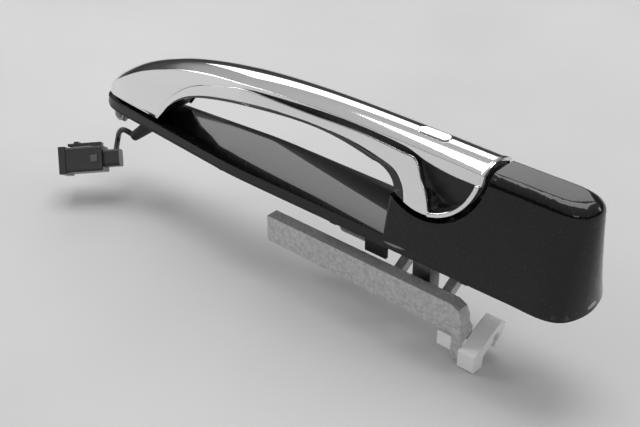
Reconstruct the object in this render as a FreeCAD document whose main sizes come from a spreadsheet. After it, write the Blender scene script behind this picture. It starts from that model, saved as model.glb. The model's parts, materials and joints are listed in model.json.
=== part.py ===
import FreeCAD, Part
import math
import os

# Car door pull handle.  Millimetres, +Z outboard (away from the door), +X from the pivoted
# front foot to the block at the rear.  The origin is the centre of the face that seats on
# the door skin, at the middle of the handle's length.

V = FreeCAD.Vector
X_AXIS, Y_AXIS, Z_AXIS = V(1, 0, 0), V(0, 1, 0), V(0, 0, 1)

doc = FreeCAD.newDocument("DoorHandle")
sheet = doc.addObject("Spreadsheet::Sheet", "Sizes")

DIMENSIONS = [
    # base: the painted rail and block, and the gasket under it
    ("tip_x", 120.5), ("rear_x", 120), ("half_width", 15.7), ("flank_slope", 0.1975),
    ("taper_start", 30), ("gasket_thick", 1.2), ("rail_top", 5.5), ("block_front", 45),
    ("block_top", 39.5), ("block_round", 4), ("hollow_half", 7), ("hollow_top", 25),
    # saddle of the block, in which the rear post of the grip rests
    ("saddle_x", 58.5), ("saddle_z", 38.7), ("saddle_radius", 23.2), ("saddle_gap", 2.2),
    # grip
    ("foot_bottom", 7), ("shell_wall", 1.5), ("crown_rise", 2.6), ("groove_depth", 1.1),
    ("liner_thick", 2), ("grip_travel", 4.5),
    # front pivot
    ("pivot_x", 110), ("pivot_z", 2.9), ("pivot_radius", 1.5), ("arm_half", 3),
    # lever behind the rail
    ("lever_y", 8), ("lever_z", 13), ("lever_pin_radius", 2), ("hub_radius", 4.5),
    ("hub_start", 7.3), ("hub_end", 65.7), ("bar_front", 15.5), ("bar_rear", 77.6),
    ("bar_near", 11), ("bar_thick", 5.5), ("bar_top", 14.3), ("bar_bottom", 26.8),
    ("leg_thick", 3.6), ("leg_bottom", 36.8), ("running_gap", 0.04),
    # pull hook
    ("hook_front", 50), ("hook_rear", 58), ("hook_half", 3), ("hook_bottom", 29.5),
    # fasteners
    ("stud_radius", 3), ("stud_length", 10), ("stud_front", 50), ("stud_rear", 97),
    # lock button
    ("button_x", 54), ("button_long", 13), ("button_wide", 4.6), ("button_gap", 0.3),
    ("button_travel", 0.8),
    # lead and plug
    ("lead_diameter", 2.4), ("plug_long", 26), ("plug_wide", 13), ("plug_high", 11),
]
for row, (alias, value) in enumerate(DIMENSIONS, start=1):
    sheet.set(f"A{row}", alias)
    sheet.set(f"B{row}", str(value))
    sheet.setAlias(f"B{row}", alias)
doc.recompute()


def size(alias):
    """The value of one named cell of the sheet."""
    return float(sheet.get(alias))


def bind(obj, prop, expression):
    """Bind a property to sheet cells; a name in the expression is the cell's alias."""
    words = expression.split()
    aliases = {alias for alias, _ in DIMENSIONS}
    bound = [f"Sizes.{word}" if word in aliases else word for word in words]
    obj.setExpression(prop, " ".join(bound))


# ---------------------------------------------------------------- parametric helpers

def new_body(label, position=V(0, 0, 0), rotation=FreeCAD.Rotation()):
    body = doc.addObject("PartDesign::Body", label)
    body.Label = label
    body.Placement = FreeCAD.Placement(position, rotation)
    return body


def new_sketch(body, role, name, shift=0.0):
    """A sketch on one of the body's own origin planes, moved along the plane's normal."""
    sketch = body.newObject("Sketcher::SketchObject", name)
    plane = [item for item in body.Origin.OriginFeatures if item.Role == role][0]
    sketch.AttachmentSupport = [(plane, "")]
    sketch.MapMode = "FlatFace"
    sketch.AttachmentOffset = FreeCAD.Placement(V(0, 0, shift), FreeCAD.Rotation())
    return sketch


def draw_polygon(sketch, points):
    corners = [V(x, y, 0) for x, y in points]
    for start, end in zip(corners, corners[1:] + corners[:1]):
        sketch.addGeometry(Part.LineSegment(start, end), False)


def draw_box(sketch, low, high):
    draw_polygon(sketch, [low, (high[0], low[1]), high, (low[0], high[1])])


def draw_circle(sketch, centre, radius):
    sketch.addGeometry(Part.Circle(V(centre[0], centre[1], 0), Z_AXIS, radius), False)


def pad(body, sketch, length, name, both_ways=False, backwards=False):
    feature = body.newObject("PartDesign::Pad", name)
    feature.Profile = sketch
    bind(feature, "Length", length)
    feature.Midplane = both_ways
    feature.Reversed = backwards
    return feature


def pocket(body, sketch, length, name, both_ways=False, backwards=False):
    """A cut, checked to have removed material."""
    doc.recompute()
    before = body.Shape.Volume
    feature = body.newObject("PartDesign::Pocket", name)
    feature.Profile = sketch
    bind(feature, "Length", length)
    feature.Midplane = both_ways
    feature.Reversed = backwards
    doc.recompute()
    if body.Shape.Volume > before - 0.01:
        raise RuntimeError(f"{name} cuts nothing from {body.Label}")
    return feature


def cylinder(label, radius, height, position, axis=Z_AXIS):
    """A Part cylinder from its base centre along an axis, with bound sizes."""
    obj = doc.addObject("Part::Cylinder", label)
    bind(obj, "Radius", radius)
    bind(obj, "Height", height)
    obj.Placement = FreeCAD.Placement(position, FreeCAD.Rotation(Z_AXIS, axis))
    return obj


def cut(label, base, tool):
    obj = doc.addObject("Part::Cut", label)
    obj.Base = base
    obj.Tool = tool
    obj.Label = label
    return obj


def fuse(label, pieces):
    obj = doc.addObject("Part::MultiFuse", label)
    obj.Shapes = pieces
    obj.Label = label
    return obj


def feature(label, shape, placement=FreeCAD.Placement()):
    """A shape made with Part's own functions, as a document object."""
    obj = doc.addObject("Part::Feature", label)
    obj.Shape = shape
    obj.Placement = placement
    obj.Label = label
    return obj


def box(low, high):
    low, high = V(*low), V(*high)
    return Part.makeBox(high.x - low.x, high.y - low.y, high.z - low.z, low)


def rod(start, end, radius):
    start, end = V(*start), V(*end)
    return Part.makeCylinder(radius, (end - start).Length, start, end - start)


# ---------------------------------------------------------------- the handle's outer form

TIP, REAR = -size("tip_x"), size("rear_x")
HALF = size("half_width")
SLOPE = size("flank_slope")
GASKET, RAIL_TOP = size("gasket_thick"), size("rail_top")
NOSE_POWER, NOSE_TAPER = 20, 0.47
TAIL_START, TAIL_POWER = 12, 2.6
TAIL_LEAN = 0.06


def plan_half_width(x, z):
    """Half the handle's width at a place along it; the flanks lean in with height."""
    inset = SLOPE * z
    tip = TIP + 0.5 * inset
    rear = REAR - TAIL_LEAN * z
    ahead = (-size("taper_start") - x) / (-size("taper_start") - tip)
    behind = (x - (rear - TAIL_START)) / TAIL_START
    if ahead > 0:
        ahead = min(ahead, 1.0)
        full = HALF * (1 - NOSE_TAPER * ahead) - inset
        return max(full, 0.6) * math.sqrt(1 - ahead ** NOSE_POWER)
    if behind > 0:
        return (HALF - inset) * (1 - min(behind, 1.0) ** TAIL_POWER) ** 0.5
    return HALF - inset


def outline(z, inset=0.0, narrow=1.0):
    """The closed plan outline of the handle at a height, drawn in by an inset or narrowed."""
    tip = TIP + 0.5 * SLOPE * z
    rear = REAR - TAIL_LEAN * z
    middle, reach = (tip + rear) / 2, (rear - tip) / 2
    side = []
    count = 22
    for step in range(1, count):
        # even angles bunch the points at the two rounded ends
        x = middle - reach * math.cos(math.pi * step / count)
        side.append((x, plan_half_width(x, z) * narrow))
    scale = 1 - (inset + (1 - narrow) * HALF / 2) / reach
    points = [V(middle + (tip - middle) * scale, 0, z)]
    points += [V(middle + (x - middle) * scale, -(y - inset), z) for x, y in side]
    points.append(V(middle + (rear - middle) * scale, 0, z))
    points += [V(middle + (x - middle) * scale, y - inset, z) for x, y in reversed(side)]
    curve = Part.BSplineCurve()
    curve.interpolate(Points=points, PeriodicFlag=True)
    return Part.Wire(curve.toShape())


# ---------------------------------------------------------------- base housing and gasket

SADDLE_X, SADDLE_Z = size("saddle_x"), size("saddle_z")
BLOCK_FRONT, BLOCK_TOP = size("block_front"), size("block_top")
PIVOT = V(-size("pivot_x"), 0, -size("pivot_z"))
LEVER = V(0, size("lever_y"), -size("lever_z"))
HOOK_FRONT, HOOK_REAR, HOOK_HALF = size("hook_front"), size("hook_rear"), size("hook_half")
STUDS_X = (-size("stud_front"), size("stud_rear"))
STUD_HEAD_RADIUS, STUD_HEAD_HIGH = 5.0, 2.5
STUD_COLLAR_RADIUS = 4.5
HOLLOW_X = (77, 89)
HOOK_SLOT = (HOOK_FRONT - 3.5, HOOK_REAR + 3.5, HOOK_HALF + 1.5)
ARM_SLOT = (PIVOT.x - 5.5, PIVOT.x + 6.5, size("arm_half") + 1)
CARRIER_SCREWS = [(12, 11), (12, 0), (73, 10), (73, 1)]
BRACKET_SCREWS = [(-99.5, 3.6), (-99.5, -3.6)]
SCREW_RADIUS = 1.25
LEAD_HOLE = V(-92.5, -3, 0)
LEAD_HOLE_RADIUS = 2.6
RAIL_INSET = 0.15         # the rail's flanks stand this much inside the block's
SHOULDER_DROP, SHOULDER_SHARE = 1.3, 0.64   # the rail's top slopes down to its edges


def through_openings(low, high):
    """Everything that passes through the base: hook, front arm, lead, screws and studs."""
    cuts = [box((HOOK_SLOT[0], -HOOK_SLOT[2], low), (HOOK_SLOT[1], HOOK_SLOT[2], high + 25)),
            box((ARM_SLOT[0], -ARM_SLOT[2], low), (ARM_SLOT[1], ARM_SLOT[2], high)),
            rod((LEAD_HOLE.x, LEAD_HOLE.y, low), (LEAD_HOLE.x, LEAD_HOLE.y, high),
                LEAD_HOLE_RADIUS)]
    return cuts


def base_housing():
    shoulder_z = RAIL_TOP - SHOULDER_DROP
    rail = Part.makeLoft([outline(GASKET, RAIL_INSET), outline(shoulder_z, RAIL_INSET),
                          outline(RAIL_TOP, RAIL_INSET, SHOULDER_SHARE)], True, True)
    rail = rail.cut(box((BLOCK_FRONT + 5, -HALF - 5, -1), (REAR + 5, HALF + 5, RAIL_TOP + 5)))
    radius = size("block_round")
    shoulder = BLOCK_TOP - radius
    block = Part.makeLoft([outline(GASKET), outline(shoulder)], True, True)
    rounded = []
    for turn in (0, 25, 50, 75):
        angle = math.radians(turn)
        rounded.append(outline(shoulder + radius * math.sin(angle),
                               radius * (1 - math.cos(angle))))
    block = block.fuse(Part.makeLoft(rounded, True, False))
    front = box((TIP - 5, -HALF - 5, -1), (BLOCK_FRONT, HALF + 5, BLOCK_TOP + 5))
    block = block.cut(front)
    saddle = rod((SADDLE_X, -HALF - 5, SADDLE_Z), (SADDLE_X, HALF + 5, SADDLE_Z),
                 size("saddle_radius"))
    above = box((BLOCK_FRONT - 5, -HALF - 5, SADDLE_Z),
                (SADDLE_X + size("saddle_radius"), HALF + 5, BLOCK_TOP + 5))
    shape = rail.fuse(block).cut(saddle.fuse(above))
    cuts = through_openings(GASKET - 1, RAIL_TOP + 1)
    half, top = size("hollow_half"), size("hollow_top")
    cuts.append(box((HOLLOW_X[0], -half, GASKET - 1), (HOLLOW_X[1], half, top)))
    for x in STUDS_X:
        cuts.append(rod((x, 0, GASKET - 1), (x, 0, GASKET + STUD_HEAD_HIGH),
                        STUD_HEAD_RADIUS))
    for x, y in CARRIER_SCREWS + BRACKET_SCREWS:
        cuts.append(rod((x, y, GASKET - 1), (x, y, GASKET + 3), SCREW_RADIUS))
    for tool in cuts:
        shape = shape.cut(tool)
    return shape.removeSplitter()


def base_gasket():
    shape = Part.makeLoft([outline(0, 0.5), outline(GASKET, 0.5)], True, True)
    for tool in through_openings(-1, GASKET + 1):
        shape = shape.cut(tool)
    for x in STUDS_X:
        shape = shape.cut(rod((x, 0, -1), (x, 0, GASKET + 1), STUD_COLLAR_RADIUS))
    for x, y in CARRIER_SCREWS + BRACKET_SCREWS:
        shape = shape.cut(rod((x, y, -1), (x, y, GASKET + 1), SCREW_RADIUS))
    return shape


feature("base_housing", base_housing())
feature("base_gasket", base_gasket())


# ---------------------------------------------------------------- mounting studs and bumpers

def mounting_studs():
    studs = []
    for x in STUDS_X:
        shank = rod((x, 0, -size("stud_length")), (x, 0, 0), size("stud_radius"))
        collar = rod((x, 0, 0), (x, 0, GASKET), STUD_COLLAR_RADIUS)
        head = rod((x, 0, GASKET), (x, 0, GASKET + STUD_HEAD_HIGH), STUD_HEAD_RADIUS)
        studs.append(shank.fuse([collar, head]).removeSplitter())
    return Part.makeCompound(studs)


feature("mounting_studs", mounting_studs())

BUMPER_X, BUMPER_Y, BUMPER_RADIUS = -90, 2.5, 1.6
bumpers = []
for side in (-1, 1):
    pad_top = size("foot_bottom") - 0.3
    bumpers.append(rod((BUMPER_X, side * BUMPER_Y, RAIL_TOP),
                       (BUMPER_X, side * BUMPER_Y, pad_top), BUMPER_RADIUS))
feature("foot_bumpers", Part.makeCompound(bumpers))

# a rubber strip on the rear flank of the saddle, where the post comes to rest
strip_outer = rod((SADDLE_X, -4, SADDLE_Z), (SADDLE_X, 4, SADDLE_Z), size("saddle_radius"))
strip_inner = rod((SADDLE_X, -5, SADDLE_Z), (SADDLE_X, 5, SADDLE_Z),
                  size("saddle_radius") - size("saddle_gap") + 0.5)
strip_window = box((65, -5, 12), (73, 5, 24))
feature("saddle_bumper", strip_outer.cut(strip_inner).common(strip_window))


# ---------------------------------------------------------------- grip: outer and inner form

FOOT = size("foot_bottom")
WALL = size("shell_wall")
LINER = size("liner_thick")
POST_RADIUS = size("saddle_radius") - size("saddle_gap")
LID = 60          # a height above everything, where side-view cutters are closed
WIDE = 20         # half the width of a side-view cutter
POST_END_X = 46.5
RIM = 1.6

# the crown line along the top of the grip, front to rear
CROWN = [(-117, 10.5), (-112, 14.6), (-106, 18.6), (-98, 23), (-90, 26.6), (-80, 30.2),
         (-67, 34), (-50, 37.4), (-30, 39.9), (-8, 41.5), (15, 42.1), (48, 41.8), (84, 40.9)]
# the underside: out of the foot, over the fingers and down the front of the rear post
UNDERSIDE = [(-80, FOOT), (-73.5, 13.4), (-62, 21), (-48, 25.6), (-29, 29.4), (1, 32),
             (25, 31.4), (36, 29.6)]
POST_FRONT = [(36, 29.6), (42, 28), (45.2, 25)]
# the upper edge of the black liner, which shows as a line under the chrome band
LINER_TOP = [(-79, FOOT - 0.1), (-72.5, 14.4), (-61.5, 22), (-47.5, 26.7), (-28.5, 30.5),
             (1, 33.1), (25, 32.6), (39, 30.3), (46, 28), (49.5, 24), (51, 18.5)]
# the lower edge of the chrome cover: the front seam, then the top of the side groove
COVER_EDGE = [(-80, FOOT), (-72, 18), (-58.7, 27.2), (-40.5, 33), (-27, 36.1), (-9.7, 37.7),
              (8, 38.8), (24, 39.2), (48, 38.2), (57, 36), (68, 34.6), (84, 34.4)]
# the upper edge of the chrome band, which is the bottom of the groove
BAND_EDGE = [(-30, 36.6), (-22, 36), (8, 36.3), (24, 36.8), (40, 36.4), (56, 34.8)]
SCOOP_FRONT = [(53, 36), (56.5, 29), (60, 23.5), (62, 17)]
SCOOP_DEPTH_HALF = 5.2


def spline_edge(points):
    curve = Part.BSplineCurve()
    curve.interpolate(Points=[V(x, 0, z) for x, z in points])
    return curve.toShape()


def line_edge(start, end):
    return Part.LineSegment(V(start[0], 0, start[1]), V(end[0], 0, end[1])).toShape()


def across(edges, half=WIDE):
    """A closed side profile swept across the handle, half to each side."""
    wire = Part.Wire(Part.__sortEdges__(edges))
    solid = Part.Face(wire).extrude(V(0, 2 * half, 0))
    solid.translate(V(0, -half, 0))
    return solid


def region(points, level):
    """Everything between a curve in side view and a level, above or below it."""
    first, last = points[0], points[-1]
    return across([spline_edge(points), line_edge(last, (last[0], level)),
                   line_edge((last[0], level), (first[0], level)),
                   line_edge((first[0], level), first)])


def crown_section(x, crown, shrink):
    """One cross-section of the grip: leaning flanks under an arched top."""
    lip = crown - size("crown_rise")
    low = plan_half_width(x, 0) - shrink
    high = plan_half_width(x, 0) - SLOPE * lip - shrink
    top = crown - shrink
    lip = lip - shrink
    left, right = V(x, -high, lip), V(x, high, lip)
    edges = [Part.LineSegment(V(x, -low, 0), left).toShape(),
             Part.Arc(left, V(x, 0, top), right).toShape(),
             Part.LineSegment(right, V(x, low, 0)).toShape(),
             Part.LineSegment(V(x, low, 0), V(x, -low, 0)).toShape()]
    return Part.Wire(edges)


def crown_solid(shrink=0.0):
    """The grip's arched outer form over its whole length, or the same form drawn in."""
    sections = []
    for place, (x, crown) in enumerate(CROWN):
        station = x + shrink if place == 0 else x
        sections.append(crown_section(station, crown, shrink))
    return Part.makeLoft(sections, True, False, False, 3)


def post_arc(radius):
    """The rounded end of the rear post, concentric with the saddle, and its front end."""
    centre = V(SADDLE_X, 0, SADDLE_Z)
    start = centre + V(radius, 0, 0)
    angle = math.radians(-45)
    middle = centre + V(math.cos(angle), 0, math.sin(angle)) * radius
    drop = math.sqrt(radius ** 2 - (POST_END_X - SADDLE_X) ** 2)
    end = V(POST_END_X, 0, SADDLE_Z - drop)
    return Part.Arc(start, middle, end).toShape(), (end.x, end.z)


def side_blank():
    """The grip's side view, from foot to post, left taller than its crown."""
    arc, post_end = post_arc(POST_RADIUS)
    front = CROWN[0][0]
    corner = (SADDLE_X + POST_RADIUS, SADDLE_Z)
    shoulder = (corner[0] + 2, CROWN[-1][1])
    return across([line_edge((front, FOOT), (front, LID)),
                   line_edge((front, LID), (shoulder[0] + 1, LID)),
                   line_edge((shoulder[0] + 1, LID), shoulder),
                   line_edge(shoulder, corner), arc,
                   spline_edge(POST_FRONT + [post_end]), spline_edge(UNDERSIDE),
                   line_edge(UNDERSIDE[0], (front, FOOT))])


def largest(shape, count=1):
    """The largest solids of a cut, without the slivers it may leave."""
    solids = sorted(shape.Solids, key=lambda solid: -solid.Volume)[:count]
    return solids[0] if count == 1 else Part.makeCompound(solids)


def oval(length, width, low, high):
    """A straight-sided oval column at the lock button, long along the handle."""
    radius = width / 2
    reach = length / 2 - radius
    x = size("button_x")
    shape = box((x - reach, -radius, low), (x + reach, radius, high))
    for side in (-1, 1):
        shape = shape.fuse(rod((x + side * reach, 0, low), (x + side * reach, 0, high), radius))
    return shape.removeSplitter()


blank = side_blank()
grip_outer = blank.common(crown_solid())
grip_inner = blank.common(crown_solid(WALL))
shell = grip_outer.cut(grip_inner)
above_seam = region(COVER_EDGE, LID).fuse(box((-125, -WIDE, -5), (COVER_EDGE[0][0], WIDE, LID)))
below_liner_edge = region(LINER_TOP, 0)
groove = region(BAND_EDGE, LID).cut(above_seam)
scoop = across([spline_edge(SCOOP_FRONT), line_edge(SCOOP_FRONT[-1], (62, 0)),
                line_edge((62, 0), (100, 0)), line_edge((100, 0), (100, 36)),
                line_edge((100, 36), SCOOP_FRONT[0])]).cut(above_seam)

# ---------------------------------------------------------------- grip: cover, bands, liner

BUTTON_HOLE = oval(size("button_long") + 2 * size("button_gap"),
                   size("button_wide") + 2 * size("button_gap"), 30, 50)
feature("grip_cover", largest(shell.common(above_seam).cut(BUTTON_HOLE)))

post_core = rod((SADDLE_X, -WIDE, SADDLE_Z), (SADDLE_X, WIDE, SADDLE_Z), POST_RADIUS - RIM)
rim = shell.common(scoop).cut(post_core)
band = shell.cut(above_seam).cut(groove).cut(scoop).cut(below_liner_edge)
feature("grip_side_bands", largest(band.fuse(rim), 2))

LINER_SCREWS = [(-29, 29.4), (25, 31.4)]
SCREW_HEAD = (2.2, 1.2)       # radius and height of the small pan heads
SCREW_DEEP = 6.0
LINER_HEAD = 0.6              # the flat heads sunk in the liner


def liner_screw(x, z):
    head = rod((x, 0, z + 0.1), (x, 0, z + 0.1 + LINER_HEAD), SCREW_HEAD[0])
    return head.fuse(rod((x, 0, z + 0.2), (x, 0, z + SCREW_DEEP), SCREW_RADIUS))


screws = [liner_screw(x, z) for x, z in LINER_SCREWS]
wells = [rod((x, 0, z - 2), (x, 0, z + 1), SCREW_HEAD[0]) for x, z in LINER_SCREWS]
liner = grip_outer.common(below_liner_edge)
for tool in screws + wells:
    liner = liner.cut(tool)
hook_socket = box((HOOK_FRONT, -HOOK_HALF, 10), (HOOK_REAR, HOOK_HALF, 27))
feature("grip_liner", largest(liner.cut(hook_socket)))
feature("liner_screws", Part.makeCompound([screw.removeSplitter() for screw in screws]))

# ---------------------------------------------------------------- grip: core and electrics

ANTENNA = ((-20, -3.4, 34.8), (18, 3.4, 38.2))
SWITCH = ((46.2, -3.6, 33.2), (61.8, 3.6, 36.2))
CROSS_PIN = (54, 23)
DOME_TOP = 37.7


def grow(corners, gap, lid):
    low, high = corners
    return box((low[0] - gap, low[1] - gap, low[2]), (high[0] + gap, high[1] + gap, lid))


def grip_core():
    arm_half = size("arm_half")
    eye = size("pivot_radius") + 1.9
    core = grip_inner.cut(below_liner_edge)
    arm = box((PIVOT.x - eye, -arm_half, PIVOT.z), (PIVOT.x + eye, arm_half, FOOT + 2))
    arm = arm.fuse(rod((PIVOT.x, -arm_half, PIVOT.z), (PIVOT.x, arm_half, PIVOT.z), eye))
    core = core.fuse(arm)
    bore = size("pivot_radius") + size("running_gap")
    core = core.cut(rod((PIVOT.x, -5, PIVOT.z), (PIVOT.x, 5, PIVOT.z), bore))
    core = core.cut(grow(ANTENNA, 0.2, LID)).cut(grow(SWITCH, 0.2, LID)).cut(hook_socket)
    for side in (-1, 1):
        pocket_box = box((45, min(side * SCOOP_DEPTH_HALF, side * WIDE), 0),
                         (90, max(side * SCOOP_DEPTH_HALF, side * WIDE), LID))
        inside_rim = scoop.common(post_core)
        core = core.cut(inside_rim.common(pocket_box))
    for screw in screws:
        core = core.cut(screw)
    core = core.cut(rod((CROSS_PIN[0], -5, CROSS_PIN[1]), (CROSS_PIN[0], 5, CROSS_PIN[1]),
                        SCREW_RADIUS))
    return largest(core.removeSplitter())


feature("grip_core", grip_core())
antenna = box(*ANTENNA)
feature("antenna_module", antenna.makeFillet(0.8, [edge for edge in antenna.Edges
                                                   if abs(edge.CenterOfMass.z - 36.5) < 0.1]))
feature("lock_switch", box(*SWITCH).cut(box((46, -1.2, 33), (48.5, 1.2, 34.2))))

dome_base = (size("button_x"), 0, SWITCH[1][2])
dome = Part.makeCone(3.2, 2.2, DOME_TOP - SWITCH[1][2], V(*dome_base))
feature("button_dome", dome)
button_top = 42.15
button_low, flange_top = DOME_TOP + 0.3, DOME_TOP + 1.4
button = oval(size("button_long"), size("button_wide"), button_low, button_top)
button = button.fuse(oval(size("button_long") + 2, size("button_wide") + 1.6, button_low,
                          flange_top)).removeSplitter()
feature("lock_button", button.makeFillet(0.3, [edge for edge in button.Edges
                                               if edge.CenterOfMass.z > button_top - 0.01]))

# ---------------------------------------------------------------- pull hook and its pin

hook = new_body("pull_hook")
sketch = new_sketch(hook, "XZ_Plane", "hook_blade")
draw_box(sketch, (HOOK_FRONT, -size("hook_bottom")), (HOOK_REAR, 26))
pad(hook, sketch, "2 * hook_half", "blade", both_ways=True)
sketch = new_sketch(hook, "YZ_Plane", "hook_toe", HOOK_FRONT)
toe_top, toe_tip = -26.5, -4.4
draw_polygon(sketch, [(-HOOK_HALF + 0.5, -size("hook_bottom")),
                      (toe_tip, -size("hook_bottom") + 0.8), (toe_tip, toe_top),
                      (-HOOK_HALF + 0.5, toe_top)])
pad(hook, sketch, "hook_rear - hook_front", "toe")
sketch = new_sketch(hook, "XZ_Plane", "pin_hole")
draw_circle(sketch, CROSS_PIN, SCREW_RADIUS)
pocket(hook, sketch, "4 * hook_half", "pin_bore", both_ways=True)
roll_pin = cylinder("hook_pin", "lever_pin_radius * 0.625", "hook_half * 2 + 4",
                    V(CROSS_PIN[0], -5, CROSS_PIN[1]), Y_AXIS)

# ---------------------------------------------------------------- front pivot

bracket = new_body("pivot_bracket")
sketch = new_sketch(bracket, "XY_Plane", "flange_outline")
draw_box(sketch, (-116, -5.6), (-97, 5.6))
pad(bracket, sketch, "gasket_thick", "flange", backwards=True)
sketch = new_sketch(bracket, "XY_Plane", "arm_window")
draw_box(sketch, (ARM_SLOT[0], -ARM_SLOT[2]), (ARM_SLOT[1], ARM_SLOT[2]))
pocket(bracket, sketch, "gasket_thick * 2", "window")
for side in (-1, 1):
    sketch = new_sketch(bracket, "XZ_Plane", f"ear_outline_{side + 1}", -side * 4.75)
    draw_polygon(sketch, [(PIVOT.x - 2.6, PIVOT.z - 2.9), (PIVOT.x + 2.6, PIVOT.z - 2.9),
                          (PIVOT.x + 3.6, 0), (PIVOT.x - 3.6, 0)])
    pad(bracket, sketch, "pivot_radius", f"ear_{side + 1}", both_ways=True)
sketch = new_sketch(bracket, "XZ_Plane", "pivot_hole")
draw_circle(sketch, (PIVOT.x, PIVOT.z), size("pivot_radius"))
pocket(bracket, sketch, "30", "pivot_bore", both_ways=True)
sketch = new_sketch(bracket, "XY_Plane", "screw_holes")
for x, y in BRACKET_SCREWS:
    draw_circle(sketch, (x, y), SCREW_RADIUS)
pocket(bracket, sketch, "gasket_thick * 2", "screw_bores")

cylinder("pivot_pin", "pivot_radius", "2 * arm_half + 7",
         V(PIVOT.x, -size("arm_half") - 3.5, PIVOT.z), Y_AXIS)


def clip_ring(centre, axis, radius, thick):
    """A thin retaining ring that sits on a pin's end."""
    axis = V(*axis)
    outer = Part.makeCylinder(radius + 1.2, thick, centre, axis)
    return outer.cut(Part.makeCylinder(radius, thick, centre, axis))


rings = []
for start in (-6.2, 5.6):
    rings.append(clip_ring(V(PIVOT.x, start, PIVOT.z), (0, 1, 0), size("pivot_radius"), 0.6))
feature("pivot_clips", Part.makeCompound(rings))


def pan_screw(x, y, underside, top):
    """A small screw driven up into the base: its head is under a flange."""
    head = rod((x, y, underside - SCREW_HEAD[1]), (x, y, underside), SCREW_HEAD[0])
    return head.fuse(rod((x, y, underside - 0.1), (x, y, top), SCREW_RADIUS)).removeSplitter()


feature("bracket_screws", Part.makeCompound(
    [pan_screw(x, y, -GASKET, GASKET + 2.5) for x, y in BRACKET_SCREWS]))

# ---------------------------------------------------------------- lever carrier

CARRIER_FLANGE = 2.4
EARS_X = (4.0, 66.0)
EAR_THICK = 3.0
carrier = new_body("lever_carrier")
sketch = new_sketch(carrier, "XY_Plane", "flange_outline")
draw_polygon(sketch, [(4, -4), (63, -5.5), (78, -5.5), (78, 13), (69, 14), (4, 14)])
pad(carrier, sketch, "gasket_thick * 2", "flange", backwards=True)
for place, start in enumerate(EARS_X):
    sketch = new_sketch(carrier, "YZ_Plane", f"ear_outline_{place}", start)
    draw_polygon(sketch, [(LEVER.y - 5, -1), (LEVER.y - 4, LEVER.z - 3.5),
                          (LEVER.y - 2, LEVER.z - 4.5), (LEVER.y + 2, LEVER.z - 4.5),
                          (LEVER.y + 4, LEVER.z - 3.5), (LEVER.y + 5, -1)])
    pad(carrier, sketch, "running_gap * 75", f"ear_{place}")
sketch = new_sketch(carrier, "YZ_Plane", "wall_outline", 28)
draw_box(sketch, (-3.5, -15), (-2, -1))
pad(carrier, sketch, "plug_long - 16", "near_wall")
sketch = new_sketch(carrier, "XY_Plane", "hook_window", 1)
draw_box(sketch, (HOOK_SLOT[0], -HOOK_SLOT[2]), (HOOK_SLOT[1], HOOK_SLOT[2]))
pocket(carrier, sketch, "gasket_thick * 5", "hook_gap")
sketch = new_sketch(carrier, "YZ_Plane", "pin_holes")
draw_circle(sketch, (LEVER.y, LEVER.z), size("lever_pin_radius"))
pocket(carrier, sketch, "200", "pin_bores", both_ways=True)
sketch = new_sketch(carrier, "XY_Plane", "screw_holes", 1)
for x, y in CARRIER_SCREWS:
    draw_circle(sketch, (x, y), SCREW_RADIUS)
pocket(carrier, sketch, "gasket_thick * 5", "screw_bores")

feature("carrier_screws", Part.makeCompound(
    [pan_screw(x, y, -CARRIER_FLANGE, GASKET + 2.5) for x, y in CARRIER_SCREWS]))

cylinder("lever_pin", "lever_pin_radius", "hub_end + 5.5", V(1.5, LEVER.y, LEVER.z), X_AXIS)
feature("lever_pin_clips", Part.makeCompound(
    [clip_ring(V(3.2, LEVER.y, LEVER.z), (1, 0, 0), size("lever_pin_radius"), 0.7),
     clip_ring(V(69.1, LEVER.y, LEVER.z), (1, 0, 0), size("lever_pin_radius"), 0.7)]))

# ---------------------------------------------------------------- lever, bushes, spring

BAR_NEAR, BAR_BACK = -size("bar_near"), -size("bar_near") + size("bar_thick")
BAR_TOP, BAR_BOTTOM = -size("bar_top"), -size("bar_bottom")
LEG_FRONT = size("bar_rear") - size("leg_thick")
CLIP_HOLE = (-7.5, -31.5)
CLIP_HOLE_RADIUS = 2.2
ARMS_X = (40, 62)
lever = new_body("bell_crank")
sketch = new_sketch(lever, "XZ_Plane", "bar_outline", size("bar_near") - size("bar_thick"))
draw_polygon(sketch, [(-size("bar_front"), BAR_TOP), (-size("bar_front"), BAR_BOTTOM + 1.2),
                      (LEG_FRONT, BAR_BOTTOM), (LEG_FRONT, -size("leg_bottom")),
                      (size("bar_rear"), -size("leg_bottom")),
                      (size("bar_rear"), BAR_TOP - 5), (size("bar_rear") - 1.5, BAR_TOP - 1.5),
                      (size("bar_rear") - 5, BAR_TOP)])
pad(lever, sketch, "bar_thick", "bar")
sketch = new_sketch(lever, "YZ_Plane", "leg_outline", LEG_FRONT)
draw_polygon(sketch, [(BAR_BACK - 1, -size("leg_bottom")), (-4, -size("leg_bottom")),
                      (-3, -size("leg_bottom") + 1), (-3, -26), (BAR_BACK, -22),
                      (BAR_BACK - 1, -22)])
pad(lever, sketch, "leg_thick", "leg_web")
for place, start in enumerate(ARMS_X):
    sketch = new_sketch(lever, "YZ_Plane", f"arm_outline_{place}", start)
    draw_polygon(sketch, [(BAR_BACK - 1, -26), (BAR_BACK, -26), (LEVER.y + 1, LEVER.z - 4.2),
                          (LEVER.y, LEVER.z), (LEVER.y - 3, LEVER.z - 2),
                          (BAR_BACK, -21.5), (BAR_BACK - 1, -21.5)])
    pad(lever, sketch, "leg_thick", f"arm_{place}")
sketch = new_sketch(lever, "YZ_Plane", "hub_outline", size("hub_start"))
draw_circle(sketch, (LEVER.y, LEVER.z), size("hub_radius"))
pad(lever, sketch, "hub_end - hub_start", "hub")
sketch = new_sketch(lever, "YZ_Plane", "lug_outline", 47)
draw_box(sketch, (BAR_BACK - 1, -25.5), (-3.35, -21.5))
pad(lever, sketch, "plug_wide", "hook_lug")
sketch = new_sketch(lever, "YZ_Plane", "hub_hole")
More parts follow.
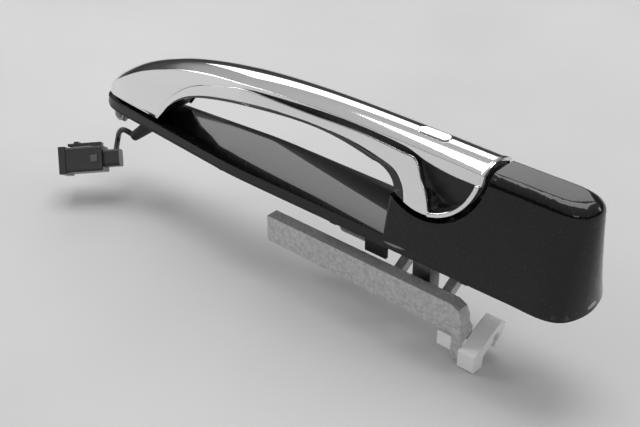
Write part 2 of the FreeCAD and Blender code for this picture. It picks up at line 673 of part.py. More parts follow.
draw_circle(sketch, (LEVER.y, LEVER.z), 3.0)
pocket(lever, sketch, "200", "hub_bore", both_ways=True)
sketch = new_sketch(lever, "YZ_Plane", "clip_hole")
draw_circle(sketch, CLIP_HOLE, CLIP_HOLE_RADIUS)
pocket(lever, sketch, "200", "clip_bore", both_ways=True)


def lever_bush(start, inward):
    """A plain bush pressed into one end of the lever's hub."""
    centre = V(start, LEVER.y, LEVER.z)
    axis = V(inward, 0, 0)
    bore = size("lever_pin_radius") + size("running_gap")
    bush = Part.makeCylinder(3.0, 8, centre, axis)
    return bush.cut(Part.makeCylinder(bore, 12, centre - axis * 2, axis))


feature("lever_bushes", Part.makeCompound([lever_bush(size("hub_start"), 1),
                                           lever_bush(size("hub_end"), -1)]))


def lever_spring():
    """The torsion spring round the hub, with one leg on the carrier and one on the bar."""
    wire, radius, turns, pitch = 1.2, 5.6, 9, 1.6
    helix = Part.makeHelix(pitch, pitch * turns, radius)
    profile = Part.Wire(Part.makeCircle(wire / 2, V(radius, 0, 0), Y_AXIS))
    coil = Part.Wire(helix).makePipeShell([profile], True, True)
    return coil


feature("lever_spring", lever_spring(),
        FreeCAD.Placement(V(10, LEVER.y, LEVER.z), FreeCAD.Rotation(Z_AXIS, X_AXIS)))

# ---------------------------------------------------------------- rod clip on the lever's leg

clip = new_body("rod_clip")
sketch = new_sketch(clip, "YZ_Plane", "band_outline", size("bar_rear") + 0.3)
draw_polygon(sketch, [(-12, -38.4), (-6.8, -38.8), (-6, -34.2), (-2.6, -32), (0.6, -30.4),
                      (2.6, -31.4), (1, -34.2), (2.4, -35.6), (4.4, -34.6), (6.8, -28.8),
                      (7, -26.2), (5.2, -24.6), (1.6, -25.6), (-4, -28.2), (-8, -30.2),
                      (-12, -31.6)])
pad(clip, sketch, "leg_thick + 3.4", "band")
sketch = new_sketch(clip, "YZ_Plane", "shank_outline", LEG_FRONT - 0.4)
draw_circle(sketch, CLIP_HOLE, CLIP_HOLE_RADIUS - 0.05)
pad(clip, sketch, "leg_thick + 0.8", "shank")
sketch = new_sketch(clip, "YZ_Plane", "head_outline", LEG_FRONT - 6.3)
draw_box(sketch, (CLIP_HOLE[0] - 3, CLIP_HOLE[1] - 3), (CLIP_HOLE[0] + 3, CLIP_HOLE[1] + 3))
pad(clip, sketch, "stud_radius * 2", "head")
ROD_SEAT, ROD_SEAT_RADIUS = (1.6, -30.4), 2.0
sketch = new_sketch(clip, "YZ_Plane", "rod_seat")
draw_circle(sketch, ROD_SEAT, ROD_SEAT_RADIUS)
pocket(clip, sketch, "200", "seat_bore", both_ways=True)

# ---------------------------------------------------------------- boot and lead

LEAD_RADIUS = size("lead_diameter") / 2
LEAD = [V(-102.1, -5, -11.4), V(-107.1, -6, -9.1), V(-111.7, -5.8, -11.9),
        V(-117.6, -3, -20.1), V(-106.1, -13, -17.4)]
BOOT_BEND = V(LEAD_HOLE.x, LEAD_HOLE.y, -3.4)


def cable_boot():
    """The grommet in the base and its leaning sleeve, which is moulded on the lead."""
    plug_top = rod((LEAD_HOLE.x, LEAD_HOLE.y, -3.4), (LEAD_HOLE.x, LEAD_HOLE.y, RAIL_TOP - 1),
                   LEAD_HOLE_RADIUS)
    collar = rod((LEAD_HOLE.x, LEAD_HOLE.y, -1.2), (LEAD_HOLE.x, LEAD_HOLE.y, 0), 3.6)
    knuckle = Part.makeSphere(3.0, BOOT_BEND)
    lean = LEAD[0] - BOOT_BEND
    sleeve = Part.makeCone(3.0, 2.2, lean.Length, BOOT_BEND, lean)
    return plug_top.fuse([collar, knuckle, sleeve])


feature("cable_boot", cable_boot())


def lead_path(points):
    """Straight runs joined by tangent arcs, as one wire."""
    edges = []
    start = points[0]
    for before, corner, after in zip(points, points[1:], points[2:]):
        into, out = (corner - before), (after - corner)
        turn = into.getAngle(out)
        reach = 0.45 * min(into.Length, out.Length)
        radius = reach / math.tan(turn / 2)
        print("bend radius", round(radius, 2))
        into.normalize()
        out.normalize()
        first, last = corner - into * reach, corner + out * reach
        inward = out - into
        inward.normalize()
        centre = corner + inward * (radius / math.cos(turn / 2))
        middle = centre - inward * radius
        edges.append(Part.LineSegment(start, first).toShape())
        edges.append(Part.Arc(first, middle, last).toShape())
        start = last
    edges.append(Part.LineSegment(start, points[-1]).toShape())
    return Part.Wire(edges)


def lead_tube():
    path = lead_path(LEAD)
    circle = Part.Wire(Part.makeCircle(LEAD_RADIUS, LEAD[0], LEAD[1] - LEAD[0]))
    tube = path.makePipeShell([circle], True, False)
    expected = math.pi * LEAD_RADIUS ** 2 * path.Length
    if abs(tube.Volume / expected - 1) > 0.02:
        raise RuntimeError("the lead's volume is not its section times its length")
    print("lead length", round(path.Length, 2))
    return tube


lead = lead_tube()
feature("cable", lead)

# ---------------------------------------------------------------- plug on the end of the lead

PLUG_LONG, PLUG_WIDE, PLUG_HIGH = size("plug_long"), size("plug_wide"), size("plug_high")
PLUG_NECK, MOUTH = 7.0, 13.0
PLUG_AXIS = V(-0.745, -0.665, -0.08)
PLUG_ROLL = 45
aim = FreeCAD.Rotation(X_AXIS, PLUG_AXIS)
PLUG_REAR = V(-102.9, -13, -19.2)
PLUG_PLACE = FreeCAD.Placement(PLUG_REAR, aim.multiply(FreeCAD.Rotation(X_AXIS, PLUG_ROLL)))


def block(x_range, wide, high, middle=(0, 0)):
    """A box along the plug's axis, centred on it or on a place beside it."""
    low = (x_range[0], middle[0] - wide / 2, middle[1] - high / 2)
    return box(low, (x_range[1], middle[0] + wide / 2, middle[1] + high / 2))


def softened(shape, radius):
    """The same block with its long edges rounded."""
    long_edges = [edge for edge in shape.Edges
                  if abs(edge.tangentAt(edge.FirstParameter).x) > 0.99]
    return shape.makeFillet(radius, long_edges)


LOCK_SLIDE = block((9, 12), PLUG_WIDE + 0.8, 3)
TERMINALS = [block((10, 19.5), 1.0, 1.0, (y, z)) for y in (-3, 0, 3) for z in (-1.5, 1.5)]
plug = softened(block((PLUG_NECK, PLUG_LONG), PLUG_WIDE, PLUG_HIGH), 1.2)
plug = plug.fuse(softened(block((0, PLUG_NECK + 1), 8.5, 7.5), 1.5))
plug = plug.fuse(block((PLUG_LONG - 3, PLUG_LONG), PLUG_WIDE + 1, PLUG_HIGH + 1))
plug = plug.cut(block((MOUTH, PLUG_LONG + 1), PLUG_WIDE - 2.4, PLUG_HIGH - 2.4))
lead_in_plug = lead.transformed(PLUG_PLACE.inverse().toMatrix(), True)
for tool in [LOCK_SLIDE, lead_in_plug] + TERMINALS:
    plug = plug.cut(tool)
feature("plug_housing", plug.removeSplitter(), PLUG_PLACE)
slide = LOCK_SLIDE
for tool in TERMINALS:
    slide = slide.cut(tool)
feature("plug_lock", slide, PLUG_PLACE)
feature("plug_terminals", Part.makeCompound(TERMINALS), PLUG_PLACE)
seal = block((MOUTH, MOUTH + 1.6), PLUG_WIDE - 2.4, PLUG_HIGH - 2.4)
feature("plug_seal", seal.cut(block((MOUTH - 1, MOUTH + 3), PLUG_WIDE - 4.4, PLUG_HIGH - 4.4)),
        PLUG_PLACE)
latch_low = PLUG_HIGH / 2
latch = block((8, 12), 5, 2, (0, latch_low + 1)).fuse(
    block((8, PLUG_LONG - 3.2), 5, 1.2, (0, latch_low + 1.4)))
latch = latch.fuse(block((18, 20), 5, 1, (0, latch_low + 2.3)))
feature("plug_latch", latch.removeSplitter(), PLUG_PLACE)

# ---------------------------------------------------------------- check and write

doc.recompute()
pieces = [obj for obj in doc.Objects
          if obj.isDerivedFrom("Part::Feature") and obj.getParentGeoFeatureGroup() is None]
for obj in doc.Objects:
    if "Invalid" in obj.State or "Error" in obj.State:
        raise RuntimeError(f"{obj.Label} did not recompute")
for piece in pieces:
    if piece.Shape.isNull() or not piece.Shape.isValid():
        raise RuntimeError(f"{piece.Label} has no valid shape")
os.makedirs("parts", exist_ok=True)
for piece in pieces:
    piece.Shape.exportStep(f"parts/{piece.Label}.step")
    print(piece.Label, len(piece.Shape.Solids), round(piece.Shape.Volume))
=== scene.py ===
import json
import math

import bmesh
import bpy
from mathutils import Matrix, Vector


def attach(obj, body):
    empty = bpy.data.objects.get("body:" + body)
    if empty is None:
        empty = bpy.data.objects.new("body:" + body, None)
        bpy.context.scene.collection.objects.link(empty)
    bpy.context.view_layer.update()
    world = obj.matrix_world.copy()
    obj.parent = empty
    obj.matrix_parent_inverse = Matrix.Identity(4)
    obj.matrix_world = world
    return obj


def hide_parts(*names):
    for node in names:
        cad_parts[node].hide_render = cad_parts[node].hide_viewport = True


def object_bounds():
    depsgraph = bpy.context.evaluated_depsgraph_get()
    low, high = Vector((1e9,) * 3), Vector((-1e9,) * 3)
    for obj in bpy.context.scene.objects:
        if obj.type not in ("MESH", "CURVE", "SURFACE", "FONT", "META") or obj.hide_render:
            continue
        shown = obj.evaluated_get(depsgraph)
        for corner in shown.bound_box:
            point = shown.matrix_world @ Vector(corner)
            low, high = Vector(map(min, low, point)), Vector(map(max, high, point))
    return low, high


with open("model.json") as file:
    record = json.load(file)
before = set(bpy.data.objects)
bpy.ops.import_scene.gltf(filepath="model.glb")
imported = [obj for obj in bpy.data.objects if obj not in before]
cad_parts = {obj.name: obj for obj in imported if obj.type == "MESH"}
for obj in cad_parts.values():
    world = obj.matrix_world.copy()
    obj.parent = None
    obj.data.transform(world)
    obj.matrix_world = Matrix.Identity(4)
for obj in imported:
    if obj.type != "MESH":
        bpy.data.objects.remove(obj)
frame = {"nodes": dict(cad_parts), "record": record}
CAD_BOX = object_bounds()

# Car door pull handle.  Metres, in the frame of the CAD model: +X from the pivoted front foot
# to the rear block, +Z outboard, origin in the middle of the face that seats on the door.

MM = 0.001
NODES = frame["nodes"]
BODY_OF = {node: body for body, nodes in frame["record"]["behaviour"]["bodies"].items()
           for node in nodes}
scene = bpy.context.scene


# ------------------------------------------------------------------ camera, floor and light

# the handle is seen from above, from its near side and its rear end
CAMERA_AZIMUTH, CAMERA_ELEVATION = math.radians(41.176), math.radians(32.01)
CAMERA_PLACE = Vector((0.2329, -0.26327, 0.20756))
CAMERA_LENS, CAMERA_SENSOR = 59.45, 36.0


def make_camera():
    data = bpy.data.cameras.new("camera")
    data.lens = CAMERA_LENS
    data.sensor_width = CAMERA_SENSOR
    data.clip_start = 0.01
    camera = bpy.data.objects.new("camera", data)
    camera.location = CAMERA_PLACE
    camera.rotation_euler = (math.pi / 2 - CAMERA_ELEVATION, 0, CAMERA_AZIMUTH)
    scene.collection.objects.link(camera)
    scene.camera = camera


make_camera()

# ------------------------------------------------------------------ the lead and its plug

# the same route as the lead's solid: out of the boot, up and over, and down to the plug
LEAD_ROUTE = [(-0.1021, -0.005, -0.0114), (-0.1071, -0.006, -0.0091), (-0.1117, -0.0058, -0.0119),
              (-0.1176, -0.003, -0.0201), (-0.1061, -0.013, -0.0174)]
LEAD_DIAMETER = 0.0024


def make_lead():
    curve = bpy.data.curves.new("lead", "CURVE")
    curve.dimensions = "3D"
    # the points' own radius gives the lead its thickness, so the curve's box fits it too
    curve.bevel_depth = 1.0
    curve.bevel_resolution = 8
    curve.resolution_u = 24
    curve.use_fill_caps = True
    spline = curve.splines.new("NURBS")
    spline.points.add(len(LEAD_ROUTE) - 1)
    for point, place in zip(spline.points, LEAD_ROUTE):
        point.co = (*place, 1.0)
        point.radius = LEAD_DIAMETER / 2
    spline.order_u = 3
    spline.use_endpoint_u = True
    lead = bpy.data.objects.new("lead", curve)
    scene.collection.objects.link(lead)
    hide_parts("cable")
    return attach(lead, "base")


lead = make_lead()


FLOOR_HALF = 3.0
# each light points at the middle: name, place, width and height, power
LIGHTS = [("ceiling", (-0.2, 0.3, 1.6), (1.2, 1.0), 17),
          ("far_panel", (-0.95, 1.1, 0.92), (1.3, 0.55), 4.5),
          ("window", (-1.3, -0.5, 0.8), (0.7, 0.6), 7),
          ("rear_window", (1.3, 0.9, 0.8), (0.45, 0.8), 5),
          ("near_fill", (0.6, -1.3, 0.7), (0.5, 0.35), 1.6)]
# grey of the room from straight down (0) to straight up (1), and how strongly it lights
ROOM_GREYS = [(0.0, 0.5), (0.5, 0.16), (0.56, 0.05), (0.66, 0.1), (0.74, 0.5), (1.0, 0.75)]
ROOM_STRENGTH = 0.75


def make_floor():
    """A square sheet at the height of the object's lowest point."""
    mesh = bpy.data.meshes.new("floor")
    low = CAD_BOX[0][2]
    corners = [(-1, -1), (1, -1), (1, 1), (-1, 1)]
    mesh.from_pydata([(x * FLOOR_HALF, y * FLOOR_HALF, low) for x, y in corners], [],
                     [(0, 1, 2, 3)])
    floor = bpy.data.objects.new("floor", mesh)
    scene.collection.objects.link(floor)
    return floor


def area_light(name, place, size, power):
    data = bpy.data.lights.new(name, "AREA")
    data.shape = "RECTANGLE"
    data.size, data.size_y = size
    data.energy = power
    light = bpy.data.objects.new(name, data)
    light.location = place
    light.rotation_euler = (-Vector(place)).to_track_quat("-Z", "Y").to_euler()
    scene.collection.objects.link(light)


def make_world():
    """A grey room: bright overhead, darkest just above the horizon, lighter again below."""
    world = bpy.data.worlds.new("room")
    world.use_nodes = True
    nodes, links = world.node_tree.nodes, world.node_tree.links
    nodes.clear()
    place = nodes.new("ShaderNodeTexCoord")
    split = nodes.new("ShaderNodeSeparateXYZ")
    ramp = nodes.new("ShaderNodeValToRGB")
    shade = nodes.new("ShaderNodeBackground")
    out = nodes.new("ShaderNodeOutputWorld")
    links.new(place.outputs["Generated"], split.inputs[0])
    remap = nodes.new("ShaderNodeMapRange")
    remap.inputs["From Min"].default_value = -1
    links.new(split.outputs["Z"], remap.inputs["Value"])
    links.new(remap.outputs[0], ramp.inputs[0])
    links.new(ramp.outputs[0], shade.inputs["Color"])
    links.new(shade.outputs[0], out.inputs[0])
    stops = ramp.color_ramp.elements
    stops.remove(stops[0])
    (first, grey), *others = ROOM_GREYS
    stops[0].position = first
    stops[0].color = (grey, grey, grey, 1)
    for position, grey in others:
        stops.new(position).color = (grey, grey, grey, 1)
    shade.inputs["Strength"].default_value = ROOM_STRENGTH
    scene.world = world


make_world()
for light_values in LIGHTS:
    area_light(*light_values)
floor = make_floor()
scene.view_settings.view_transform = "Standard"

# ------------------------------------------------------------------ materials

EDGE_SAMPLES = 6
FLAKES_PER_METRE = 2600


def new_material(name, colour, roughness, metallic=0.0, coat=0.0, coat_roughness=0.03,
                 edge=0.0, specular=0.5):
    """A plain finish, with its edges softened by a bevel where edge gives a radius."""
    material = bpy.data.materials.new(name)
    material.use_nodes = True
    shader = material.node_tree.nodes["Principled BSDF"]
    shader.inputs["Base Color"].default_value = (colour, colour, colour, 1)
    shader.inputs["Roughness"].default_value = roughness
    shader.inputs["Metallic"].default_value = metallic
    shader.inputs["Coat Weight"].default_value = coat
    shader.inputs["Coat Roughness"].default_value = coat_roughness
    shader.inputs["Specular IOR Level"].default_value = specular
    if edge:
        bevel = material.node_tree.nodes.new("ShaderNodeBevel")
        bevel.samples = EDGE_SAMPLES
        bevel.inputs["Radius"].default_value = edge
        material.node_tree.links.new(bevel.outputs[0], shader.inputs["Normal"])
    return material


def drive(material, name, value):
    """Lets a value socket set one of the shader's inputs."""
    shader = material.node_tree.nodes["Principled BSDF"]
    material.node_tree.links.new(value, shader.inputs[name])


def noise(material, scale, detail=4.0, stretch=(1, 1, 1)):
    """Noise in the object's own space, as a value socket."""
    tree = material.node_tree
    place = tree.nodes.new("ShaderNodeTexCoord")
    mapping = tree.nodes.new("ShaderNodeMapping")
    mapping.inputs["Scale"].default_value = stretch
    texture = tree.nodes.new("ShaderNodeTexNoise")
    texture.inputs["Scale"].default_value = scale
    texture.inputs["Detail"].default_value = detail
    tree.links.new(place.outputs["Object"], mapping.inputs[0])
    tree.links.new(mapping.outputs[0], texture.inputs["Vector"])
    return texture.outputs["Fac"]


def ramp_between(material, value, low, high, start=0.35, end=0.65):
    """A socket that goes from low to high as a value goes from start to end."""
    remap = material.node_tree.nodes.new("ShaderNodeMapRange")
    remap.inputs["From Min"].default_value = start
    remap.inputs["From Max"].default_value = end
    remap.inputs["To Min"].default_value = low
    remap.inputs["To Max"].default_value = high
    material.node_tree.links.new(value, remap.inputs["Value"])
    return remap.outputs[0]


def grain(material, value, depth):
    """A small bump from a value, laid over whatever normal the shader already has."""
    tree = material.node_tree
    shader = tree.nodes["Principled BSDF"]
    bump = tree.nodes.new("ShaderNodeBump")
    bump.inputs["Distance"].default_value = depth
    tree.links.new(value, bump.inputs["Height"])
    for link in list(shader.inputs["Normal"].links):
        tree.links.new(link.from_socket, bump.inputs["Normal"])
    tree.links.new(bump.outputs[0], shader.inputs["Normal"])


def black_paint():
    """Black lacquer over fine metallic flake, with faint smears and a few worn marks."""
    material = new_material("black_paint", 0.002, 0.3, coat=0.75, coat_roughness=0.035,
                            edge=0.0006, specular=0.06)
    tree = material.node_tree
    place = tree.nodes.new("ShaderNodeTexCoord")
    flake = tree.nodes.new("ShaderNodeTexVoronoi")
    flake.inputs["Scale"].default_value = FLAKES_PER_METRE
    tree.links.new(place.outputs["Object"], flake.inputs["Vector"])
    split = tree.nodes.new("ShaderNodeSeparateColor")
    tree.links.new(flake.outputs["Color"], split.inputs[0])
    spark = ramp_between(material, split.outputs[0], 0.0012, 0.02, 0.93, 1.0)
    wear = noise(material, 75, detail=2, stretch=(0.35, 1, 2.2))
    mark = ramp_between(material, wear, 0.0, 0.3, 0.69, 0.71)
    both = tree.nodes.new("ShaderNodeMath")
    tree.links.new(spark, both.inputs[0])
    tree.links.new(mark, both.inputs[1])
    drive(material, "Base Color", both.outputs[0])
    smear = noise(material, 60, stretch=(0.5, 1.6, 1.2))
    drive(material, "Coat Roughness", ramp_between(material, smear, 0.02, 0.09, 0.45, 0.8))
    return material


def chrome_plate():
    """Bright plating with a few dull smears from handling."""
    material = new_material("chrome_plate", 0.86, 0.05, metallic=1.0, edge=0.0004)
    smear = noise(material, 45, stretch=(0.4, 1.5, 1.5))
    drive(material, "Roughness", ramp_between(material, smear, 0.035, 0.11, 0.4, 0.75))
    return material


def cast_alloy():
    """A grey cast surface, dull, rough and slightly mottled."""
    material = new_material("cast_alloy", 0.66, 0.44, metallic=0.3, edge=0.0005)
    mottle = noise(material, 700, detail=9)
    drive(material, "Base Color", ramp_between(material, mottle, 0.44, 0.66, 0.3, 0.7))
    grain(material, noise(material, 900, detail=6), 0.00012)
    return material


def grained_plastic(name, colour, roughness):
    """Moulded plastic or rubber with a fine even grain."""
    material = new_material(name, colour, roughness, edge=0.0003)
    grain(material, noise(material, 2500, detail=3), 0.00005)
    return material


def white_nylon():
    """Natural nylon, which lets a little light in."""
    material = new_material("white_nylon", 0.92, 0.42, edge=0.0004)
    shader = material.node_tree.nodes["Principled BSDF"]
    shader.inputs["Subsurface Weight"].default_value = 0.25
    shader.inputs["Subsurface Radius"].default_value = (0.002, 0.002, 0.002)
    grain(material, noise(material, 700, detail=4), 0.00008)
    return material


def floor_paper():
    """Light grey paper, very slightly uneven in tone."""
    material = new_material("floor_paper", 0.5, 0.7, specular=0.3)
    drive(material, "Base Color", ramp_between(material, noise(material, 6, detail=6), 0.49, 0.53))
    return material


MATERIALS = {
    "black_paint": black_paint(),
    "chrome_plate": chrome_plate(),
    "black_liner": new_material("black_liner", 0.008, 0.22, coat=0.6, edge=0.0004),
    "black_nylon": grained_plastic("black_nylon", 0.012, 0.42),
    "resin_black": grained_plastic("resin_black", 0.02, 0.5),
    "gasket_rubber": grained_plastic("gasket_rubber", 0.02, 0.7),
    "seal_rubber": grained_plastic("seal_rubber", 0.14, 0.6),
    "cable_jacket": new_material("cable_jacket", 0.02, 0.4),
    "plug_plastic": grained_plastic("plug_plastic", 0.018, 0.32),
    "lock_plastic": grained_plastic("lock_plastic", 0.1, 0.4),
    "contact_brass": new_material("contact_brass", 0.75, 0.22, metallic=1.0),
    "plated_steel": new_material("plated_steel", 0.22, 0.4, metallic=1.0, edge=0.0003),
    "spring_steel": new_material("spring_steel", 0.35, 0.3, metallic=1.0),
    "cast_alloy": cast_alloy(),
    "white_nylon": white_nylon(),
}
floor.data.materials.append(floor_paper())
lead.data.materials.append(MATERIALS["cable_jacket"])
SLOT_OF = {part["node"]: part["material_slot"] for part in frame["record"]["subparts"]}

# ------------------------------------------------------------------ pieces made from a node

SMOOTH_ANGLE = math.radians(32)
MERGE_DISTANCE, FLAT_ANGLE = 2e-6, math.radians(0.6)
ROUND_ANGLE, ROUND_SEGMENTS = math.radians(40), 2
FACE_AREA_WEIGHT = 80
# radius of the softened edges, in millimetres; the other pieces keep their edges as they are
ROUNDED = {"bell_crank": 0.5, "rod_clip": 0.35, "plug_housing": 0.25, "plug_latch": 0.2,
           "plug_lock": 0.15, "lever_carrier": 0.3, "pull_hook": 0.3, "lock_button": 0.15,
           "pivot_bracket": 0.15, "carrier_screws": 0.2, "bracket_screws": 0.2}
# nodes that get a form of their own further down, or above
OWN_FORM = ("cable", "grip_cover", "grip_side_bands")


def finish_mesh(obj, body, slot, nodes):
    """Shading, material and place of a piece made in mesh code."""
    mesh = obj.data
    mesh.materials.clear()
    mesh.materials.append(MATERIALS[slot])
    mesh.shade_smooth()
    mesh.set_sharp_from_angle(angle=SMOOTH_ANGLE)
    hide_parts(*nodes)
    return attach(obj, body)


def new_object(name, bm):
    mesh = bpy.data.meshes.new(name)
    bm.normal_update()
    bm.to_mesh(mesh)
    bm.free()
    obj = bpy.data.objects.new(name, mesh)
    scene.collection.objects.link(obj)
    return obj


def edge_angle(edge):
    return edge.calc_face_angle(0.0) if len(edge.link_faces) == 2 else 0.0


def refined(node, round_edges=0.0):
    """The node's own form with its vertices merged, and its sharp edges rounded if asked."""
    bm = bmesh.new()
    bm.from_mesh(NODES[node].data)
    bmesh.ops.remove_doubles(bm, verts=bm.verts, dist=MERGE_DISTANCE)
    bmesh.ops.dissolve_limit(bm, angle_limit=FLAT_ANGLE, verts=bm.verts, edges=bm.edges,
                             delimit={"NORMAL"})
    if round_edges:
        sharp = [edge for edge in bm.edges if edge_angle(edge) > ROUND_ANGLE]
        bmesh.ops.bevel(bm, geom=sharp, offset=round_edges, segments=ROUND_SEGMENTS,
                        profile=0.5, affect="EDGES", clamp_overlap=True)
    bmesh.ops.triangulate(bm, faces=[face for face in bm.faces if len(face.verts) > 4])
    obj = new_object(node + "_form", bm)
    weighted = obj.modifiers.new("normals", "WEIGHTED_NORMAL")
    weighted.keep_sharp = True
    weighted.weight = FACE_AREA_WEIGHT
    return finish_mesh(obj, BODY_OF[node], SLOT_OF[node], [node])


for node, radius in ROUNDED.items():
    refined(node, radius * MM)
for node in NODES:
    if node not in ROUNDED and node not in OWN_FORM:
        refined(node)

# ------------------------------------------------------------------ the chrome cover

# The cover and the bands are drawn in millimetres, as x and z along and above the base.
# The flanks lean in by FLANK_SLOPE, and the width tapers from TAPER_START to the tip.
HALF_WIDTH, FLANK_SLOPE = 15.7, 0.1975
TIP_X, TAPER_START, NOSE_POWER, NOSE_TAPER = -120.5, -30.0, 20, 0.47
# the cover rounds off at the front between these, and no section is thinner than the share
NOSE_START, NOSE_END, NOSE_ROUNDNESS, THINNEST_SHARE = -110.0, -118.6, 2.4, 0.02
CROWN_RISE, COVER_WALL, LEAST_FLANK = 2.6, 1.3, 0.05
# the post at the rear ends in a round, centred on the saddle
SADDLE_X, SADDLE_Z, POST_RADIUS = 58.5, 38.7, 21.0
FOOT_Z = 7.0
COVER_COLUMNS, FLANK_STEPS, TOP_STEPS = 220, 14, 26
# stations bunch together at the front, and the last few bend to the round end
BUNCHING, END_BEND = 1.5, 30
# height of the crown, and of the cover's lower edge
CROWN = [(-117, 10.5), (-112, 14.6), (-106, 18.6), (-98, 23), (-90, 26.6), (-80, 30.2),
         (-67, 34), (-50, 37.4), (-30, 39.9), (-8, 41.5), (15, 42.1), (48, 41.8), (84, 40.9)]
COVER_EDGE = [(-80, 7), (-72, 18), (-58.7, 27.2), (-40.5, 33), (-27, 36.1), (-9.7, 37.7),
              (8, 38.8), (24, 39.2), (48, 38.2), (57, 36), (68, 34.6), (84, 34.4)]


def curve_at(points, x):
    """The height of a smooth curve through the points, at a place along the handle."""
    if x <= points[0][0]:
        return points[0][1]
    count = len(points)
    place = max(i for i in range(count - 1) if points[i][0] <= x or i == 0)
    (x1, z1), (x2, z2) = points[place], points[place + 1]

    def slope(i):
        low, high = points[max(i - 1, 0)], points[min(i + 1, count - 1)]
        return (high[1] - low[1]) / (high[0] - low[0])

    width = x2 - x1
    t = (x - x1) / width
    return ((2 * t ** 3 - 3 * t ** 2 + 1) * z1 + (t ** 3 - 2 * t ** 2 + t) * width * slope(place)
            + (3 * t ** 2 - 2 * t ** 3) * z2 + (t ** 3 - t ** 2) * width * slope(place + 1))


def flank_half(x, z):
    """Half the grip's width at a place along it and a height."""
    ahead = max((TAPER_START - x) / (TAPER_START - TIP_X), 0)
    full = HALF_WIDTH * (1 - NOSE_TAPER * ahead)
    return full * math.sqrt(1 - min(ahead, 1) ** NOSE_POWER) - FLANK_SLOPE * z


def nose_share(x):
    """How much of the full section is left where the cover rounds off at the front."""
    ahead = max((NOSE_START - x) / (NOSE_START - NOSE_END), 0)
    return math.sqrt(max(1 - ahead ** NOSE_ROUNDNESS, 0.0))


def cover_section(x):
    """Points of one cross-section of the cover, from its lower edge over to the other one."""
    share = nose_share(x)
    low = FOOT_Z if x < COVER_EDGE[0][0] else curve_at(COVER_EDGE, x)
    crown = low + (curve_at(CROWN, x) - low) * share if share < 1 else curve_at(CROWN, x)
    lip = crown - CROWN_RISE * share
    low = min(low, lip - LEAST_FLANK)
    half = flank_half(x, lip) * max(share, THINNEST_SHARE)
    side = []
    for step in range(FLANK_STEPS):
        z = low + (lip - low) * step / FLANK_STEPS
        side.append((flank_half(x, z) * max(share, THINNEST_SHARE), z))
    top = []
    rise = crown - lip
    radius = (half ** 2 + rise ** 2) / (2 * max(rise, THINNEST_SHARE))
    widest = math.asin(min(half / radius, 1))
    for step in range(TOP_STEPS + 1):
        angle = widest * (1 - 2 * step / TOP_STEPS)
        top.append((radius * math.sin(angle), crown - radius * (1 - math.cos(angle))))
    return ([(-y, z) for y, z in side] + [(-y, z) for y, z in top]
            + [(y, z) for y, z in reversed(side)])


def cover_end(z):
    """Where the cover ends over the saddle, at a height."""
    drop = min(max(SADDLE_Z - z, 0), POST_RADIUS / 2)
    return SADDLE_X + math.sqrt(POST_RADIUS ** 2 - drop ** 2)


def make_cover():
    """The chrome shell: cross-sections from the rounded front to the round end on the saddle."""
    bm = bmesh.new()
    rear = cover_end(SADDLE_Z)
    rows = []
    for column in range(COVER_COLUMNS + 1):
        share = (column / COVER_COLUMNS) ** BUNCHING
        station = NOSE_END + THINNEST_SHARE + (rear - NOSE_END) * share
        row = []
        for y, z in cover_section(station):
            x = station + (cover_end(z) - rear) * share ** END_BEND
            row.append(bm.verts.new((x * MM, y * MM, z * MM)))
        rows.append(row)
    for left, right in zip(rows, rows[1:]):
        for i in range(len(left) - 1):
            bm.faces.new((left[i], left[i + 1], right[i + 1], right[i]))
    bm.faces.new(list(reversed(rows[0])))
    bmesh.ops.recalc_face_normals(bm, faces=bm.faces)
    cover = new_object("cover_shell", bm)
    thicken = cover.modifiers.new("wall", "SOLIDIFY")
    thicken.thickness = COVER_WALL * MM
    thicken.offset = -1
    return finish_mesh(cover, "grip", "chrome_plate", ["grip_cover"])


make_cover()

# ------------------------------------------------------------------ the chrome side bands

# lower edge of a band, along the black liner and down the front of the post
BAND_LOW = [(-79, 7), (-75.8, 10.6), (-72.5, 14.4), (-67.5, 18.6), (-61.5, 22), (-54.5, 24.7),
            (-47.5, 26.7), (-38, 28.8), (-28.5, 30.5), (-14, 32.1), (1, 33.1), (13, 33.2),
            (25, 32.6), (32.5, 31.6), (39, 30.3), (43, 29.4), (46, 28), (48, 26.2), (49.5, 24),
            (50.4, 21.4), (50.9, 19.1)]
# upper edge: the cover's seam, the groove, and the ridge in front of the scoop
BAND_HIGH = [(-79.9, 7), (-76.2, 12.6), (-72, 18), (-66, 22.9), (-58.7, 27.2), (-50, 30.4),
             (-40.5, 33), (-31, 35.3), (-22, 36), (-8, 36.1), (8, 36.3), (16, 36.6),
             (24, 36.8), (32, 36.8), (40, 36.4), (47, 35.9), (52.2, 35.6), (54.6, 33),
             (56.5, 29), (59.4, 24.4), (61.6, 17.95)]
BAND_COLUMNS, BAND_ROWS, RIM_COLUMNS, RIM_ROWS = 200, 10, 60, 2
BAND_WALL, BAND_EDGE, RIM_WIDTH = 1.2, 0.25, 1.6
BAND_EDGE_ANGLE = math.radians(50)
# from this share of its length on, a band bends to the post's round end
POST_BEND_START = 0.85


def along(points, share):
    """A point on the smooth curve through the points, as a share of their count."""
    place = min(int(share * (len(points) - 1)), len(points) - 2)
    t = share * (len(points) - 1) - place
    around = [points[max(place - 1, 0)], points[place], points[place + 1],
              points[min(place + 2, len(points) - 1)]]
    weights = (-t + 2 * t ** 2 - t ** 3, 2 - 5 * t ** 2 + 3 * t ** 3,
               t + 4 * t ** 2 - 3 * t ** 3, -t ** 2 + t ** 3)
    return tuple(sum(w * p[axis] for w, p in zip(weights, around)) / 2 for axis in (0, 1))


def on_post(x, z):
    """The place on the post's round end, straight out from the saddle's centre."""
    reach = math.hypot(x - SADDLE_X, z - SADDLE_Z)
    return (SADDLE_X + (x - SADDLE_X) * POST_RADIUS / reach,
            SADDLE_Z + (z - SADDLE_Z) * POST_RADIUS / reach)


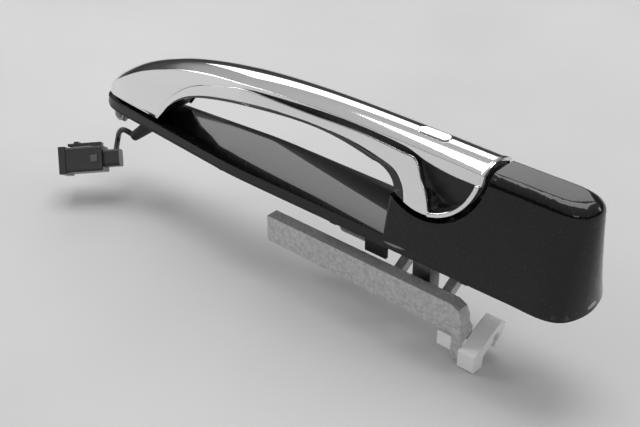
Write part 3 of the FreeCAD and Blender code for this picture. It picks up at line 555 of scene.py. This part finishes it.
def band_point(share, across):
    """A point of the band, by its share of the length and of the width."""
    low, high = along(BAND_LOW, share), along(BAND_HIGH, share)
    x, z = (a + (b - a) * across for a, b in zip(low, high))
    near_end = max((share - POST_BEND_START) / (1 - POST_BEND_START), 0)
    end_x, end_z = (a + (b - a) * across for a, b in zip(BAND_LOW[-1], BAND_HIGH[-1]))
    post_x, post_z = on_post(end_x, end_z)
    return x + (post_x - end_x) * near_end ** 2, z + (post_z - end_z) * near_end ** 2


def rim_point(share, across):
    """A point of the rim that carries on round the post, up to the cover."""
    start = math.atan2(BAND_HIGH[-1][1] - SADDLE_Z, BAND_HIGH[-1][0] - SADDLE_X)
    end = math.atan2(COVER_EDGE[-1][1] - SADDLE_Z, POST_RADIUS)
    angle = start + (end - start) * share
    radius = POST_RADIUS - RIM_WIDTH * across
    return SADDLE_X + radius * math.cos(angle), SADDLE_Z + radius * math.sin(angle)


def make_band(name, side, place, columns, rows):
    """A strip on one flank, with its points given by place(share along, share across)."""
    bm = bmesh.new()
    grid = []
    for column in range(columns + 1):
        line = []
        for row in range(rows + 1):
            x, z = place(column / columns, row / rows)
            line.append(bm.verts.new((x * MM, side * flank_half(x, z) * MM, z * MM)))
        grid.append(line)
    for left, right in zip(grid, grid[1:]):
        for i in range(rows):
            bm.faces.new((left[i], right[i], right[i + 1], left[i + 1]))
    # band and rim are drawn opposite ways, so they face outwards on opposite sides
    if (side > 0) == (place is band_point):
        bmesh.ops.reverse_faces(bm, faces=bm.faces)
    band = new_object(name, bm)
    thicken = band.modifiers.new("wall", "SOLIDIFY")
    thicken.thickness = BAND_WALL * MM
    thicken.offset = -1
    thicken.use_rim = True
    edge = band.modifiers.new("edge", "BEVEL")
    edge.width = BAND_EDGE * MM
    edge.segments = 2
    edge.limit_method = "ANGLE"
    edge.angle_limit = BAND_EDGE_ANGLE
    return finish_mesh(band, "grip", "chrome_plate", ["grip_side_bands"])


for side, label in ((-1, "near"), (1, "far")):
    make_band(f"band_{label}", side, band_point, BAND_COLUMNS, BAND_ROWS)
    make_band(f"rim_{label}", side, rim_point, RIM_COLUMNS, RIM_ROWS)


bpy.context.view_layer.update()
